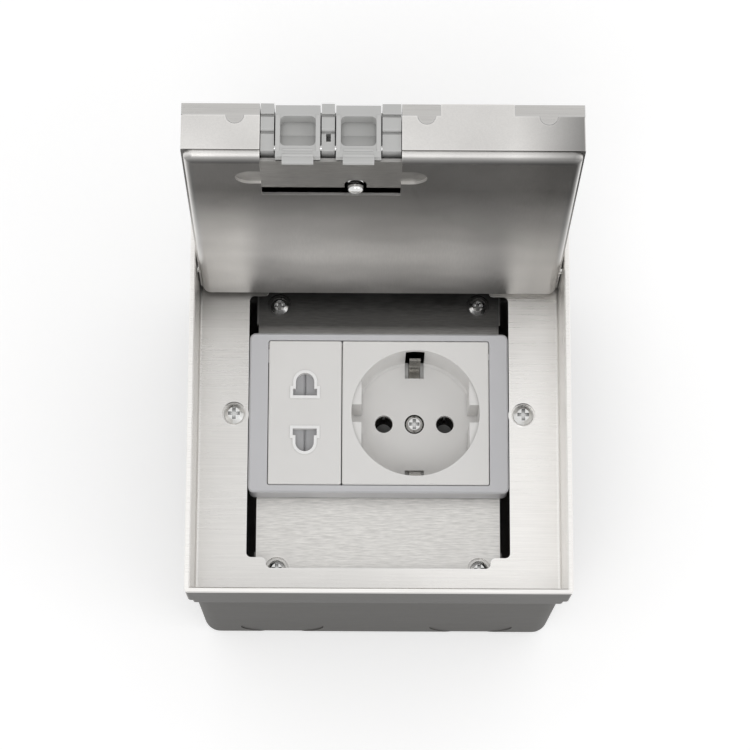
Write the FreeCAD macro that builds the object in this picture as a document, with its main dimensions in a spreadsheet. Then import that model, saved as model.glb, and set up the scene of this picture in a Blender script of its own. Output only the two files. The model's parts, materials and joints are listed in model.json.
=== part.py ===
"""Recessed floor socket box: a sheet-steel back box and trim frame, a module carrier with two
socket modules, and a hollow hinged lid with a two-flap cable outlet. Millimetres, +Z up, origin at
the centre of the back box's underside. The lid stands open at its stop."""
import FreeCAD
import Part
import math
import os
import re
import Sketcher

os.makedirs("parts", exist_ok=True)
doc = FreeCAD.newDocument("FloorSocketBox")

# ---------------------------------------------------------------- driving dimensions
SIZES = {
    # trim frame
    "total_height": 98.0, "frame_width": 113.5, "frame_length": 117.5, "skirt_height": 15.5,
    "skirt_sheet": 0.9, "wall_sheet": 0.75, "rim_round": 0.35, "frame_corner": 1.2, 
    "ring_depth": 25.8, "ring_bend": 1.0, "opening_width": 79.6, "opening_front": 47.45,
    "opening_rear": 40.3, "opening_step": 3.25, "opening_shelf": 5.9, "opening_round": 1.5,
    "ring_screw_span": 88.2, "dish_width": 7.4, "dish_depth": 1.3, "dish_wall": 0.8,
    # back box
    "box_setback": 1.1, "box_sheet": 1.2, "box_flange": 6.4, "box_corner": 5.2, "box_floor_round": 5.0,
    "knockout_width": 26.4, "knockout_cut": 0.35, "knockout_span": 60.4,
    "knockout_height": 15.0, "fixing_span": 70.0, "fixing_hole": 5.2,
    "lug_width": 14.0, "lug_sheet": 1.5, "lug_leg": 16.0, "lug_reach": 3.7,
    # screws
    "screw_width": 4.0, "screw_head": 6.4, "screw_head_height": 1.9, "screw_length": 9.0,
    "screw_play": 0.03, "cross_width": 1.1, "cross_span": 3.6, "cross_depth": 1.1,
    "small_screw_width": 3.4, "small_screw_head": 5.5, "small_screw_head_height": 1.6,
    "small_screw_length": 7.0,
    # carrier plate
    "carrier_drop": 34.5, "carrier_sheet": 1.2, "carrier_width": 74.4, "carrier_front": 51.0,
    "carrier_rear": 41.5, "carrier_screw_span": 61.6, "carrier_screw_front": 46.4,
    "carrier_screw_rear": 36.25, "carrier_dish": 7.3, "carrier_dish_depth": 1.2,
    "carrier_play": 0.5, "bracket_sheet": 1.5, "bracket_leg": 14.0, "bracket_reach": 5.5,
    # faceplate and socket modules
    "module_centre": 0.5, "face_width": 79.1, "face_height": 49.6, "face_corner": 1.8, "face_sheet": 2.0,
    "face_wall": 1.6, "module_size": 45.0, "module_play": 0.15, "module_rise": 0.4, "module_sheet": 2.0,
    "module_skirt": 7.5, "module_wall": 1.2, "clip_width": 6.0, "clip_sheet": 1.3, "clip_span": 44.0,
    "clip_hook": 0.7, "clip_play": 0.25,
    # two-pin module
    "hole_width": 5.6, "hole_inner": 5.15, "hole_outer": 12.2, "ear_width": 7.3, "ear_height": 2.1,
    "hole_border": 0.9, "hole_border_rise": 0.25, "shutter_sheet": 1.6, "shutter_width": 4.6,
    "shutter_travel": 3.4, "shutter_gap": 0.12, "shutter_play": 0.15, "universal_base_depth": 24.0,
    "universal_base_length": 40.0, "contact_sheet": 0.8, "contact_height": 12.0, "contact_gap": 4.2,
    # earthed module
    "recess_width": 39.2, "recess_depth": 17.5, "recess_wall": 1.2, "recess_floor": 2.0,
    "recess_round": 0.8, "guide_offset": 16.5, "guide_notch": 5.5, "pin_span": 19.0, "pin_hole": 5.55,
    "centre_screw_head": 5.8, "centre_screw_width": 3.0, "earth_window": 5.9, "earth_window_depth": 9.0,
    "earth_strip_width": 3.4, "earth_strip_sheet": 0.8, "earth_strip_rise": 10.5, "schuko_base_depth": 14.0,
    "schuko_base_size": 40.0, "sleeve_width": 7.0, "sleeve_bore": 4.9, "sleeve_length": 10.0,
    "terminal_screw_width": 3.0, "terminal_screw_head": 4.6, "terminal_screw_rise": 0.8, "terminal_screw_sink": 2.4,
    # lid
    "lid_play": 0.35, "lid_length": 109.1, "lid_thickness": 16.5, "cover_sheet": 0.8, "lip_height": 3.5,
    "lip_sheet": 0.6, "pan_sheet": 0.8, "pan_bend": 2.6, "band_end": 13.5, "tail_round": 8.0,
    "lid_tail": 12.95, "hinge_drop": 12.0, "hinge_to_rim": 14.7, "open_angle": 95.1,
    "pin_width": 3.0, "pin_play": 0.05, "pin_inset": 0.25, "hinge_plate_sheet": 2.0,
    "hinge_plate_size": 15.0, "tab_width": 4.9, "tab_reach": 2.3, "tab_play": 0.08,
    # cable outlet in the lid
    "outlet_left": 33.4, "outlet_right": 5.1, "outlet_play": 0.2, "outlet_notch": 14.0, "outlet_back": 14.0,
    "outlet_hole_depth": 25.6, "ear_front": 8.6, "ear_rear": 17.2, "ear_left": 40.4, "ear_right": 12.2,
    "plate_left": 44.0, "plate_right": 16.0, "plate_front": 3.2, "plate_rear": 21.7, "plate_sheet": 1.0,
    "stud_offset": 7.4, "stud_back": 19.4, "stud_width": 4.6, "stud_notch": 6.2,
    "flap_centre_left": 23.1, "flap_centre_right": 6.65, "flap_width": 12.2, "flap_play": 0.35,
    "flap_top": 0.3, "flap_heel": 8.0, "flap_knee": 12.9, "flap_arm_depth": 4.0, "flap_arm_end": 15.4,
    "flap_depth": 6.0, "flap_inset": 0.3, "bay_roof": 1.0, "bay_rear": 12.3, "bay_floor": 13.0, "cup_width": 9.6,
    "cup_top": 3.6, "cup_bottom": 12.3, "cup_depth": 4.6, "cup_round": 1.4, "hook_width": 8.5,
    "hook_end": 17.3, "hook_sheet": 1.6, "flap_pin_drop": 12.2, "flap_pin_inset": 2.3, "flap_pin_width": 1.6, "flap_pin_grip": 0.9,
}
sheet = doc.addObject("Spreadsheet::Sheet", "Sizes")
for row, (alias, size) in enumerate(SIZES.items(), start=1):
    sheet.set("A%d" % row, alias)
    sheet.set("B%d" % row, str(size))
    sheet.setAlias("B%d" % row, alias)
doc.recompute()

# Levels and faces worked out from the driving dimensions.
DERIVED = {
    "rim_width": "skirt_sheet + wall_sheet",
    "inner_half_width": "frame_width / 2 - rim_width",
    "inner_half_length": "frame_length / 2 - rim_width",
    "tub_half_width": "frame_width / 2 - skirt_sheet",
    "tub_half_length": "frame_length / 2 - skirt_sheet",
    "ring_top": "total_height - ring_depth",
    "ring_under": "ring_top - wall_sheet",
    "box_half_width": "frame_width / 2 - box_setback",
    "box_half_length": "frame_length / 2 - box_setback",
    "lug_top": "ring_under - dish_depth",
    "carrier_top": "total_height - carrier_drop",
    "carrier_under": "carrier_top - carrier_sheet",
    "bracket_top": "carrier_under - carrier_dish_depth",
    "module_top": "ring_top + module_rise",
    "module_under": "module_top - module_sheet",
    "modules_width": "module_size * 1.5",
    "universal_x": "module_size / 4 - modules_width / 2",
    "schuko_x": "modules_width / 2 - module_size / 2",
    "universal_half_width": "module_size / 4 - module_play",
    "module_half": "module_size / 2 - module_play",
    "shutter_top": "module_under - shutter_play",
    "universal_base_top": "shutter_top - shutter_sheet - shutter_play",
    "recess_bottom": "module_top - recess_depth",
    "schuko_base_top": "recess_bottom - recess_floor",
    "hinge_y": "frame_length / 2 - rim_width - hinge_to_rim",
    "hinge_z": "total_height - hinge_drop",
    "lid_half_width": "inner_half_width - lid_play",
    "lid_front": "lid_tail - lid_length",
    "lid_top": "hinge_drop",
    "lid_under": "hinge_drop - lid_thickness",
    "pan_half_width": "lid_half_width - lip_sheet",
    "pan_front": "lid_front + lip_sheet",
    "pan_tail": "lid_tail - cover_sheet - 0.05",
    "plate_under": "lid_under + pan_sheet",
    "plate_top": "plate_under + plate_sheet",
}
WORD = re.compile(r"\b[a-z][a-z_]+\b")


def spell(text):
    """Writes a size or a sum of sizes as an expression on the Sizes sheet."""
    def swap(match):
        word = match.group(0)
        if word in DERIVED:
            return "(" + spell(DERIVED[word]) + ")"
        return "Sizes." + word if word in SIZES else word
    return WORD.sub(swap, str(text))


def amount(text):
    """The present value of a size or a sum of sizes."""
    found = sheet.evalExpression(spell(text))
    return float(getattr(found, "Value", found))


# ---------------------------------------------------------------- building helpers
def new_body(label, base=("0", "0", "0")):
    """A body at a given place, with its Placement tied to the sheet."""
    body = doc.addObject("PartDesign::Body", label)
    body.Label = label
    place(body, base)
    return body


def place(thing, base):
    for axis, text in zip("xyz", base):
        thing.setExpression("Placement.Base." + axis, spell(text))


def on_lid(thing):
    """Puts a piece that is drawn about the hinge axis, lid shut, where it is with the lid open."""
    place(thing, ("0", "hinge_y", "hinge_z"))
    thing.Placement.Rotation = FreeCAD.Rotation(FreeCAD.Vector(1, 0, 0), -1)
    thing.setExpression("Placement.Rotation.Angle", spell("-open_angle") + " * 1 deg")
    return thing


def new_sketch(body, name, plane="XY_Plane", level="0"):
    """A sketch on one of the body's own origin planes, lifted along its normal."""
    sketch = body.newObject("Sketcher::SketchObject", body.Label + "_" + name)
    origin = next(o for o in body.Origin.OriginFeatures if o.Role == plane)
    sketch.AttachmentSupport = (origin, [""])
    sketch.MapMode = "FlatFace"
    sketch.setExpression("AttachmentOffset.Base.z", spell(level))
    return sketch


def pin_point(sketch, geometry, end, x, y):
    """Holds one point of a sketch at x, y from its origin."""
    for kind, text in (("DistanceX", x), ("DistanceY", y)):
        index = sketch.addConstraint(Sketcher.Constraint(kind, -1, 1, geometry, end, amount(text)))
        sketch.setExpression("Constraints[%d]" % index, spell(text))


def hold_radius(sketch, geometry, radius):
    index = sketch.addConstraint(Sketcher.Constraint("Radius", geometry, amount(radius)))
    sketch.setExpression("Constraints[%d]" % index, spell(radius))


def draw_outline(sketch, corners):
    """A closed outline. A corner is (x, y), or (x, y, radius) where it is rounded."""
    points = [FreeCAD.Vector(amount(c[0]), amount(c[1]), 0) for c in corners]
    radii = [amount(c[2]) if len(c) > 2 else 0 for c in corners]
    count = len(corners)
    starts, ends, arcs = [], [], {}
    for i, point in enumerate(points):
        before = (points[i - 1] - point).normalize()
        after = (points[(i + 1) % count] - point).normalize()
        if not radii[i]:
            starts.append(point)
            ends.append(point)
            continue
        half = before.getAngle(after) / 2
        reach = radii[i] / math.tan(half)
        centre = point + (before + after).normalize() * (radii[i] / math.sin(half))
        first, last = point + before * reach, point + after * reach
        leftward = before.cross(after).z < 0
        from_angle, to_angle = [math.atan2(p.y - centre.y, p.x - centre.x)
                                for p in ((first, last) if leftward else (last, first))]
        circle = Part.Circle(centre, FreeCAD.Vector(0, 0, 1), radii[i])
        arcs[i] = (Part.ArcOfCircle(circle, from_angle, to_angle), (1, 2) if leftward else (2, 1))
        ends.append(first)
        starts.append(last)
    lines = []
    for i in range(count):
        lines.append(sketch.addGeometry(Part.LineSegment(starts[i], ends[(i + 1) % count]), False))
    for i in range(count):
        incoming, outgoing = lines[i - 1], lines[i]
        if i not in arcs:
            sketch.addConstraint(Sketcher.Constraint("Coincident", incoming, 2, outgoing, 1))
            pin_point(sketch, outgoing, 1, corners[i][0], corners[i][1])
            continue
        curve, (first_end, last_end) = arcs[i]
        arc = sketch.addGeometry(curve, False)
        mark = sketch.addGeometry(Part.Point(points[i]), True)
        pin_point(sketch, mark, 1, corners[i][0], corners[i][1])
        sketch.addConstraint(Sketcher.Constraint("PointOnObject", mark, 1, incoming))
        sketch.addConstraint(Sketcher.Constraint("PointOnObject", mark, 1, outgoing))
        sketch.addConstraint(Sketcher.Constraint("Tangent", incoming, 2, arc, first_end))
        sketch.addConstraint(Sketcher.Constraint("Tangent", arc, last_end, outgoing, 1))
        hold_radius(sketch, arc, corners[i][2])


def draw_box(sketch, x0, x1, y0, y1, radius=None):
    corners = [(x0, y0), (x1, y0), (x1, y1), (x0, y1)]
    if radius:
        corners = [c + (radius,) for c in corners]
    draw_outline(sketch, corners)


def draw_circle(sketch, x, y, radius):
    centre = FreeCAD.Vector(amount(x), amount(y), 0)
    circle = sketch.addGeometry(Part.Circle(centre, FreeCAD.Vector(0, 0, 1), amount(radius)), False)
    pin_point(sketch, circle, 3, x, y)
    hold_radius(sketch, circle, radius)


def feature(body, kind, sketch, length, reverse=False, both=False):
    """A pad or a pocket of a sketch, checked for having added or removed material."""
    doc.recompute()
    before = body.Shape.Volume if body.Tip and not body.Shape.isNull() else 0.0
    made = body.newObject("PartDesign::" + kind, sketch.Name + kind)
    made.Profile = sketch
    made.Reversed = reverse
    if hasattr(made, "Midplane"):
        made.Midplane = both
    made.setExpression("Length", spell(length))
    doc.recompute()
    if "Invalid" in made.State:
        raise ValueError("%s failed: %s" % (made.Name, made.getStatusString()))
    change = body.Shape.Volume - before
    if change == 0 or (change > 0) != (kind == "Pad"):
        raise ValueError("%s changed the volume of %s by %.3f" % (made.Name, body.Label, change))
    return made


def pad(body, sketch, length, reverse=False, both=False):
    return feature(body, "Pad", sketch, length, reverse, both)


def pocket(body, sketch, length, reverse=False, both=False):
    return feature(body, "Pocket", sketch, length, reverse, both)


def block(body, name, x0, x1, y0, y1, low, high, radius=None):
    """A straight block padded up from one level to another."""
    sketch = new_sketch(body, name, level=low)
    draw_box(sketch, x0, x1, y0, y1, radius)
    return pad(body, sketch, "(%s) - (%s)" % (high, low))


def well(body, name, x0, x1, y0, y1, low, high, radius=None):
    """A straight pocket sunk from one level down to another."""
    sketch = new_sketch(body, name, level=high)
    draw_box(sketch, x0, x1, y0, y1, radius)
    return pocket(body, sketch, "(%s) - (%s)" % (high, low))


def bore(body, name, places, radius, low, high):
    """Round holes along Z from one level down to another."""
    sketch = new_sketch(body, name, level=high)
    for x, y in places:
        draw_circle(sketch, x, y, radius)
    return pocket(body, sketch, "(%s) - (%s)" % (high, low))


def post(body, name, places, radius, low, high):
    """Round bosses along Z from one level up to another."""
    sketch = new_sketch(body, name, level=low)
    for x, y in places:
        draw_circle(sketch, x, y, radius)
    return pad(body, sketch, "(%s) - (%s)" % (high, low))


def round_edges(body, base, chosen, radius, kind="Fillet"):
    """Rounds or bevels the edges that a test picks out of a body's present shape."""
    doc.recompute()
    names = ["Edge%d" % (i + 1) for i, edge in enumerate(base.Shape.Edges) if chosen(edge)]
    if not names:
        raise ValueError("no edge of %s to round" % body.Label)
    made = body.newObject("PartDesign::" + kind, "%s_%s_%s" % (body.Label, base.Name, kind))
    made.Base = (base, names)
    made.setExpression("Radius" if kind == "Fillet" else "Size", spell(radius))
    doc.recompute()
    if "Invalid" in made.State or made.Shape.isNull():
        raise ValueError("%s of %s failed on %d edges: %s" % (kind, body.Label, len(names), made.getStatusString()))
    return made


def upright(edge):
    start, end = edge.Vertexes[0].Point, edge.Vertexes[-1].Point
    return (start - end).Length > 0.01 and abs(start.z - end.z) > 0.99 * (start - end).Length


def at_level(edge, level, slack=0.01):
    return abs(edge.BoundBox.ZMin - level) < slack and abs(edge.BoundBox.ZMax - level) < slack


def turned(body, name, corners):
    """A solid turned about the body's Z axis. Corners are (radius, height)."""
    sketch = new_sketch(body, name, "XZ_Plane")
    draw_outline(sketch, corners)
    made = body.newObject("PartDesign::Revolution", sketch.Name + "Turned")
    made.Profile = sketch
    made.ReferenceAxis = (sketch, ["V_Axis"])
    made.Angle = 360
    doc.recompute()
    return made


def group(label, members):
    """Several like solids under one name."""
    made = doc.addObject("Part::Compound", label)
    made.Label = label
    made.Links = members
    doc.recompute()
    return made


def cross_screw(name, base, width, head, head_height, length):
    """A pan-head screw with a cross recess; its place is the seat of the head."""
    body = new_body(name, base)
    turned(body, "profile", [("0", "-(%s)" % length), ("(%s) / 2" % width, "-(%s)" % length),
                             ("(%s) / 2" % width, "0"), ("(%s) / 2" % head, "0"),
                             ("(%s) / 2" % head, "0.45 * (%s)" % head_height),
                             ("(%s) / 2 - 0.7 * (%s)" % (head, head_height), head_height), ("0", head_height)])
    arm, reach = "cross_width / 2", "cross_span / 2 * (%s) / screw_head" % head
    sketch = new_sketch(body, "cross", level=head_height)
    draw_outline(sketch, [(arm, reach), (arm, arm), (reach, arm), (reach, "-" + arm), (arm, "-" + arm),
                          (arm, "-(%s)" % reach), ("-" + arm, "-(%s)" % reach), ("-" + arm, "-" + arm),
                          ("-(%s)" % reach, "-" + arm), ("-(%s)" % reach, arm), ("-" + arm, arm),
                          ("-" + arm, reach)])
    pocket(body, sketch, "cross_depth")
    return body


def mirrored_pair(x, y):
    return [(x, y), ("-(%s)" % x, y)]


def centred(half_x, half_y, x="0", y="0"):
    """The four sides of a rectangle about a point."""
    return ("(%s) - (%s)" % (x, half_x), "(%s) + (%s)" % (x, half_x),
            "(%s) - (%s)" % (y, half_y), "(%s) + (%s)" % (y, half_y))


def side_profile(body, name, corners, width, x="0"):
    """A profile of (y, z) corners padded along X, half to each side of x."""
    sketch = new_sketch(body, name, "YZ_Plane", x)
    draw_outline(sketch, corners)
    return pad(body, sketch, width, both=True)


def cross_bore(body, name, y, z, radius, width, x="0"):
    """A round hole along X, half to each side of x."""
    sketch = new_sketch(body, name, "YZ_Plane", x)
    draw_circle(sketch, y, z, radius)
    return pocket(body, sketch, width, both=True)


# ---------------------------------------------------------------- trim frame
def make_frame():
    """Pressed frame: hemmed rim and skirt, tub walls, and a flat ring with a stepped opening."""
    body = new_body("frame")
    block(body, "skirt", *centred("frame_width / 2", "frame_length / 2"),
          "total_height - skirt_height", "total_height", "frame_corner")
    block(body, "tub", *centred("tub_half_width", "tub_half_length"),
          "ring_under", "total_height - skirt_height", "frame_corner")
    inside = well(body, "inside", *centred("inner_half_width", "inner_half_length"),
                  "ring_top", "total_height")
    bent = round_edges(body, inside, lambda e: at_level(e, amount("ring_top")), "ring_bend")
    round_edges(body, bent, lambda e: at_level(e, amount("total_height")), "rim_round", "Chamfer")
    half, shelf = "opening_width / 2", "opening_width / 2 - opening_shelf"
    front, rear = "-opening_front", "opening_rear"
    front_step, rear_step = "opening_step - opening_front", "opening_rear - opening_step"
    bend = "opening_round"
    right = [(shelf, front, bend), (shelf, front_step, bend), (half, front_step, bend),
             (half, rear_step, bend), (shelf, rear_step, bend), (shelf, rear, bend)]
    left = [("-(%s)" % x, y, r) for x, y, r in reversed(right)]
    sketch = new_sketch(body, "opening", level="ring_top")
    draw_outline(sketch, right + left)
    pocket(body, sketch, "wall_sheet + 1")
    places = mirrored_pair("ring_screw_span / 2", "0")
    post(body, "dish", places, "dish_width / 2 + dish_wall", "lug_top", "ring_under")
    bore(body, "dish_well", places, "dish_width / 2", "ring_top - dish_depth", "ring_top")
    bore(body, "screw_hole", places, "screw_width / 2 + 0.2", "lug_top", "ring_top - dish_depth")
    cross_bore(body, "pin_hole", "hinge_y", "hinge_z", "pin_width / 2 + screw_play", "frame_width + 2")
    return body


def make_hinge_pins():
    """Two short pins pressed into the frame's side walls, one each side of the lid."""
    pins = []
    for side in (1, -1):
        pin = new_body("hinge_pin_%s" % ("right" if side > 0 else "left"))
        inner = "pan_half_width - pan_sheet - hinge_plate_sheet - 0.6"
        outer = "frame_width / 2 - pin_inset"
        turned(pin, "profile", [("0", inner), ("pin_width / 2", inner), ("pin_width / 2", outer), ("0", outer)])
        place(pin, ("0", "hinge_y", "hinge_z"))
        pin.Placement.Rotation = FreeCAD.Rotation(FreeCAD.Vector(0, 1, 0), 90 * side)
        pins.append(pin)
    return group("hinge_pins", pins)


def make_frame_screws():
    """The two screws that hold the frame's ring down on the box lugs."""
    screws = []
    for i, (x, y) in enumerate(mirrored_pair("ring_screw_span / 2", "0")):
        screws.append(cross_screw("frame_screw_%d" % i, (x, y, "ring_top - dish_depth"), "screw_width",
                                  "screw_head", "screw_head_height", "screw_length"))
    return group("frame_screws", screws)


# ---------------------------------------------------------------- back box
def make_back_box():
    """Drawn steel box with a turned-in top flange, knock-outs in all four walls and fixing holes."""
    body = new_body("back_box")
    block(body, "shell", *centred("box_half_width", "box_half_length"), "0", "ring_under", "box_corner")
    well(body, "cavity", *centred("box_half_width - box_sheet", "box_half_length - box_sheet"),
         "box_sheet", "ring_under - box_sheet", "box_corner - box_sheet")
    mouth = well(body, "mouth", *centred("box_half_width - box_flange", "box_half_length - box_flange"),
                 "ring_under - box_sheet", "ring_under", "box_corner - box_sheet")
    low = amount("box_sheet")
    rounded = round_edges(body, mouth, lambda e: at_level(e, low), "box_floor_round - box_sheet")
    round_edges(body, rounded, lambda e: at_level(e, 0), "box_floor_round")
    pair, single = mirrored_pair("knockout_span / 2", "knockout_height"), [("0", "knockout_height")]
    walls = (("front", "XZ_Plane", "box_half_length", False, pair),
             ("rear", "XZ_Plane", "-box_half_length", True, pair),
             ("right", "YZ_Plane", "box_half_width", False, single),
             ("left", "YZ_Plane", "-box_half_width", True, single))
    for name, plane, level, reverse, places in walls:
        sketch = new_sketch(body, "knockout_" + name, plane, level)
        for x, y in places:
            draw_circle(sketch, x, y, "knockout_width / 2")
        pocket(body, sketch, "knockout_cut", reverse)
    half = "fixing_span / 2"
    bore(body, "fixing", mirrored_pair(half, half) + mirrored_pair(half, "-" + half),
         "fixing_hole / 2", "0", "box_sheet + 0.5")
    return body


def make_box_lugs():
    """Two welded angle lugs with an extruded, tapped hole for the frame screws."""
    lugs = []
    for side in (1, -1):
        lug = new_body("box_lug_%s" % ("right" if side > 0 else "left"))
        wall, tip = "box_half_width - box_sheet", "ring_screw_span / 2 - lug_reach"
        foot, under = "lug_top - lug_leg", "lug_top - lug_sheet"
        sketch = new_sketch(lug, "profile", "XZ_Plane")
        draw_outline(sketch, [(wall, foot), (wall, "lug_top"), (tip, "lug_top"), (tip, under),
                              ("%s - lug_sheet" % wall, under, "lug_sheet"), ("%s - lug_sheet" % wall, foot)])
        pad(lug, sketch, "lug_width", both=True)
        post(lug, "collar", [("ring_screw_span / 2", "0")], "screw_width / 2 + 1.3", "lug_top - lug_sheet - 2.5",
             "lug_top - lug_sheet")
        bore(lug, "hole", [("ring_screw_span / 2", "0")], "screw_width / 2 + screw_play",
             "lug_top - lug_sheet - 2.6", "lug_top")
        lug.Placement.Rotation = FreeCAD.Rotation(FreeCAD.Vector(0, 0, 1), 0 if side > 0 else 180)
        lugs.append(lug)
    return group("box_lugs", lugs)


def make_carrier_bracket(label, side, screw_row):
    """A welded angle across the box, front or rear, that the carrier plate is screwed to."""
    body = new_body(label)
    wall = "%s * (box_half_length - box_sheet)" % side
    tip = "%s * (%s - bracket_reach)" % (side, screw_row)
    foot, under = "bracket_top - bracket_leg", "bracket_top - bracket_sheet"
    inner = "%s * (box_half_length - box_sheet - bracket_sheet)" % side
    side_profile(body, "profile", [(wall, foot), (wall, "bracket_top"), (tip, "bracket_top"), (tip, under),
                                   (inner, under, "bracket_sheet"), (inner, foot)], "carrier_screw_span + 14")
    bore(body, "hole", mirrored_pair("carrier_screw_span / 2", "%s * %s" % (side, screw_row)),
         "small_screw_width / 2 + screw_play", "bracket_top - bracket_sheet - 0.5", "bracket_top")
    return body


def make_earth_terminal():
    """Brass block on the box floor with a wire hole and a tapped hole for its clamp screw."""
    body = new_body("earth_terminal", ("box_half_width - 17", "14 - box_half_length", "box_sheet"))
    edge = block(body, "block", *centred("5", "4"), "0", "9")
    round_edges(body, edge, upright, "0.6")
    cross_bore(body, "wire", "0", "4", "2.1", "12")
    bore(body, "tapped", [("0", "0")], "terminal_screw_width / 2 + screw_play", "5", "9")
    return body


def make_earth_screw():
    return cross_screw("earth_screw", ("box_half_width - 17", "14 - box_half_length", "box_sheet + 9.5"),
                       "terminal_screw_width", "terminal_screw_head", "1.4", "4.5")


# ---------------------------------------------------------------- carrier plate and faceplate
CARRIER_PLACES = (mirrored_pair("carrier_screw_span / 2", "-carrier_screw_front")
                  + mirrored_pair("carrier_screw_span / 2", "carrier_screw_rear"))


def clip_places():
    """The four snap clips of the faceplate, as (x, side) with side 1 at the rear."""
    return [(x, side) for side in (1, -1) for x in ("-clip_span / 2", "clip_span / 2")]


def make_carrier_plate():
    """Brushed plate that carries the faceplate, with dished screw holes and the module aperture."""
    body = new_body("carrier_plate")
    block(body, "plate", "-carrier_width / 2", "carrier_width / 2", "-carrier_front", "carrier_rear",
          "carrier_under", "carrier_top", "opening_round")
    post(body, "dish", CARRIER_PLACES, "carrier_dish / 2 + 0.7", "bracket_top", "carrier_under")
    bore(body, "dish_well", CARRIER_PLACES, "carrier_dish / 2", "carrier_top - carrier_dish_depth", "carrier_top")
    bore(body, "screw_hole", CARRIER_PLACES, "small_screw_width / 2 + 0.2", "bracket_top",
         "carrier_top - carrier_dish_depth")
    well(body, "aperture", *centred("modules_width / 2 + carrier_play", "module_size / 2 + carrier_play",
                                    y="module_centre"), "carrier_under", "carrier_top", "1")
    for i, (x, side) in enumerate(clip_places()):
        inner = "module_centre + %d * (module_size / 2)" % side
        outer = "module_centre + %d * (face_height / 2 + clip_play - 0.2)" % side
        near, far = (inner, outer) if side > 0 else (outer, inner)
        well(body, "clip_slot_%d" % i, "%s - clip_width / 2 - clip_play" % x, "%s + clip_width / 2 + clip_play" % x,
             near, far, "carrier_under", "carrier_top")
    return body


def make_carrier_screws():
    screws = []
    for i, (x, y) in enumerate(CARRIER_PLACES):
        screws.append(cross_screw("carrier_screw_%d" % i, (x, y, "carrier_top - carrier_dish_depth"),
                                  "small_screw_width", "small_screw_head", "small_screw_head_height",
                                  "small_screw_length"))
    return group("carrier_screws", screws)


def make_faceplate():
    """Grey moulded support frame: a lipped aperture for the modules, walls down to the carrier plate."""
    body = new_body("faceplate")
    shell = block(body, "shell", *centred("face_width / 2", "face_height / 2", y="module_centre"),
                  "carrier_top", "ring_top", "face_corner")
    round_edges(body, shell, lambda e: at_level(e, amount("ring_top")), "0.5", "Chamfer")
    well(body, "inside", *centred("face_width / 2 - face_wall", "face_height / 2 - face_wall", y="module_centre"),
         "carrier_top", "ring_top - face_sheet")
    well(body, "aperture", *centred("modules_width / 2 + 0.1", "module_size / 2 + 0.1", y="module_centre"),
         "ring_top - face_sheet", "ring_top", "0.8")
    legs = new_sketch(body, "clips", level="carrier_under - 2.4")
    hooks = new_sketch(body, "hooks", level="carrier_under - 2.4")
    for x, side in clip_places():
        x0, x1 = "%s - clip_width / 2" % x, "%s + clip_width / 2" % x
        root = "module_centre + %d * (face_height / 2 - 0.2 - clip_sheet)" % side
        face = "module_centre + %d * (face_height / 2 - 0.2)" % side
        tip = "module_centre + %d * (face_height / 2 - 0.2 + clip_hook)" % side
        near, far = (root, face) if side > 0 else (face, root)
        draw_box(legs, x0, x1, near, far)
        near, far = (root, tip) if side > 0 else (tip, root)
        draw_box(hooks, x0, x1, near, far)
    pad(body, legs, "carrier_sheet + 2.4 + 1.5")
    pad(body, hooks, "2.3")
    return body


# ---------------------------------------------------------------- two-pin universal module
def hole_outline(side, grow="0"):
    """A socket hole: a round outer end for round pins, flat ears at the inner end for flat ones."""
    half, ear = "hole_width / 2 + %s" % grow, "ear_width / 2 + %s" % grow
    inner, shoulder = "hole_inner - %s" % grow, "hole_inner + ear_height + %s" % grow
    outer = "hole_outer + %s" % grow
    across = [(ear, inner), (ear, shoulder), (half, shoulder), (half, outer, "%s - 0.01" % half)]
    across += [("-(%s)" % c[0],) + c[1:] for c in reversed(across)]
    return [("universal_x + %s" % c[0], "module_centre + %d * (%s)" % (side, c[1])) + c[2:] for c in across]


def make_universal_front():
    """Front of the narrow module: a shallow box with two holes, each in a raised border."""
    body = new_body("universal_front")
    shell = block(body, "shell", *centred("universal_half_width", "module_half", "universal_x", "module_centre"),
                  "module_top - module_skirt", "module_top", "0.6")
    round_edges(body, shell, lambda e: at_level(e, amount("module_top")), "0.3", "Chamfer")
    well(body, "inside", *centred("universal_half_width - module_wall", "module_half - module_wall",
                                  "universal_x", "module_centre"), "module_top - module_skirt", "module_under")
    for side in (1, -1):
        name = "rear" if side > 0 else "front"
        border = new_sketch(body, "border_" + name, level="module_top")
        draw_outline(border, hole_outline(side, "hole_border"))
        pad(body, border, "hole_border_rise")
        hole = new_sketch(body, "hole_" + name, level="module_top + hole_border_rise")
        draw_outline(hole, hole_outline(side))
        pocket(body, hole, "module_sheet + hole_border_rise")
    module_ears(body, "universal_x", "6")
    return body


def module_ears(body, x, half_width):
    """Small snap ears that catch under the faceplate's aperture edge, front and rear."""
    ears = new_sketch(body, "ears", level="ring_top - face_sheet - 2.2")
    for side in (1, -1):
        root, tip = "module_centre + %d * (module_half - 0.2)" % side, "module_centre + %d * (module_half + 0.65)" % side
        near, far = (root, tip) if side > 0 else (tip, root)
        draw_box(ears, "%s - %s" % (x, half_width), "%s + %s" % (x, half_width), near, far)
    return pad(body, ears, "2.15")


def make_shutter(label, side):
    """One of two plates that close both holes and part sideways when a plug goes in."""
    body = new_body(label)
    near, far = "universal_x + %d * shutter_gap / 2" % side, "universal_x + %d * (shutter_gap / 2 + shutter_width)" % side
    x0, x1 = (near, far) if side > 0 else (far, near)
    plate = block(body, "plate", x0, x1, "module_centre - hole_outer - 1", "module_centre + hole_outer + 1",
                  "shutter_top - shutter_sheet", "shutter_top")
    edge_x, top = amount(near), amount("shutter_top")
    round_edges(body, plate, lambda e: at_level(e, top) and abs(e.BoundBox.XMin - edge_x) < 0.01
                and abs(e.BoundBox.XMax - edge_x) < 0.01, "0.5", "Chamfer")
    return body


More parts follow.
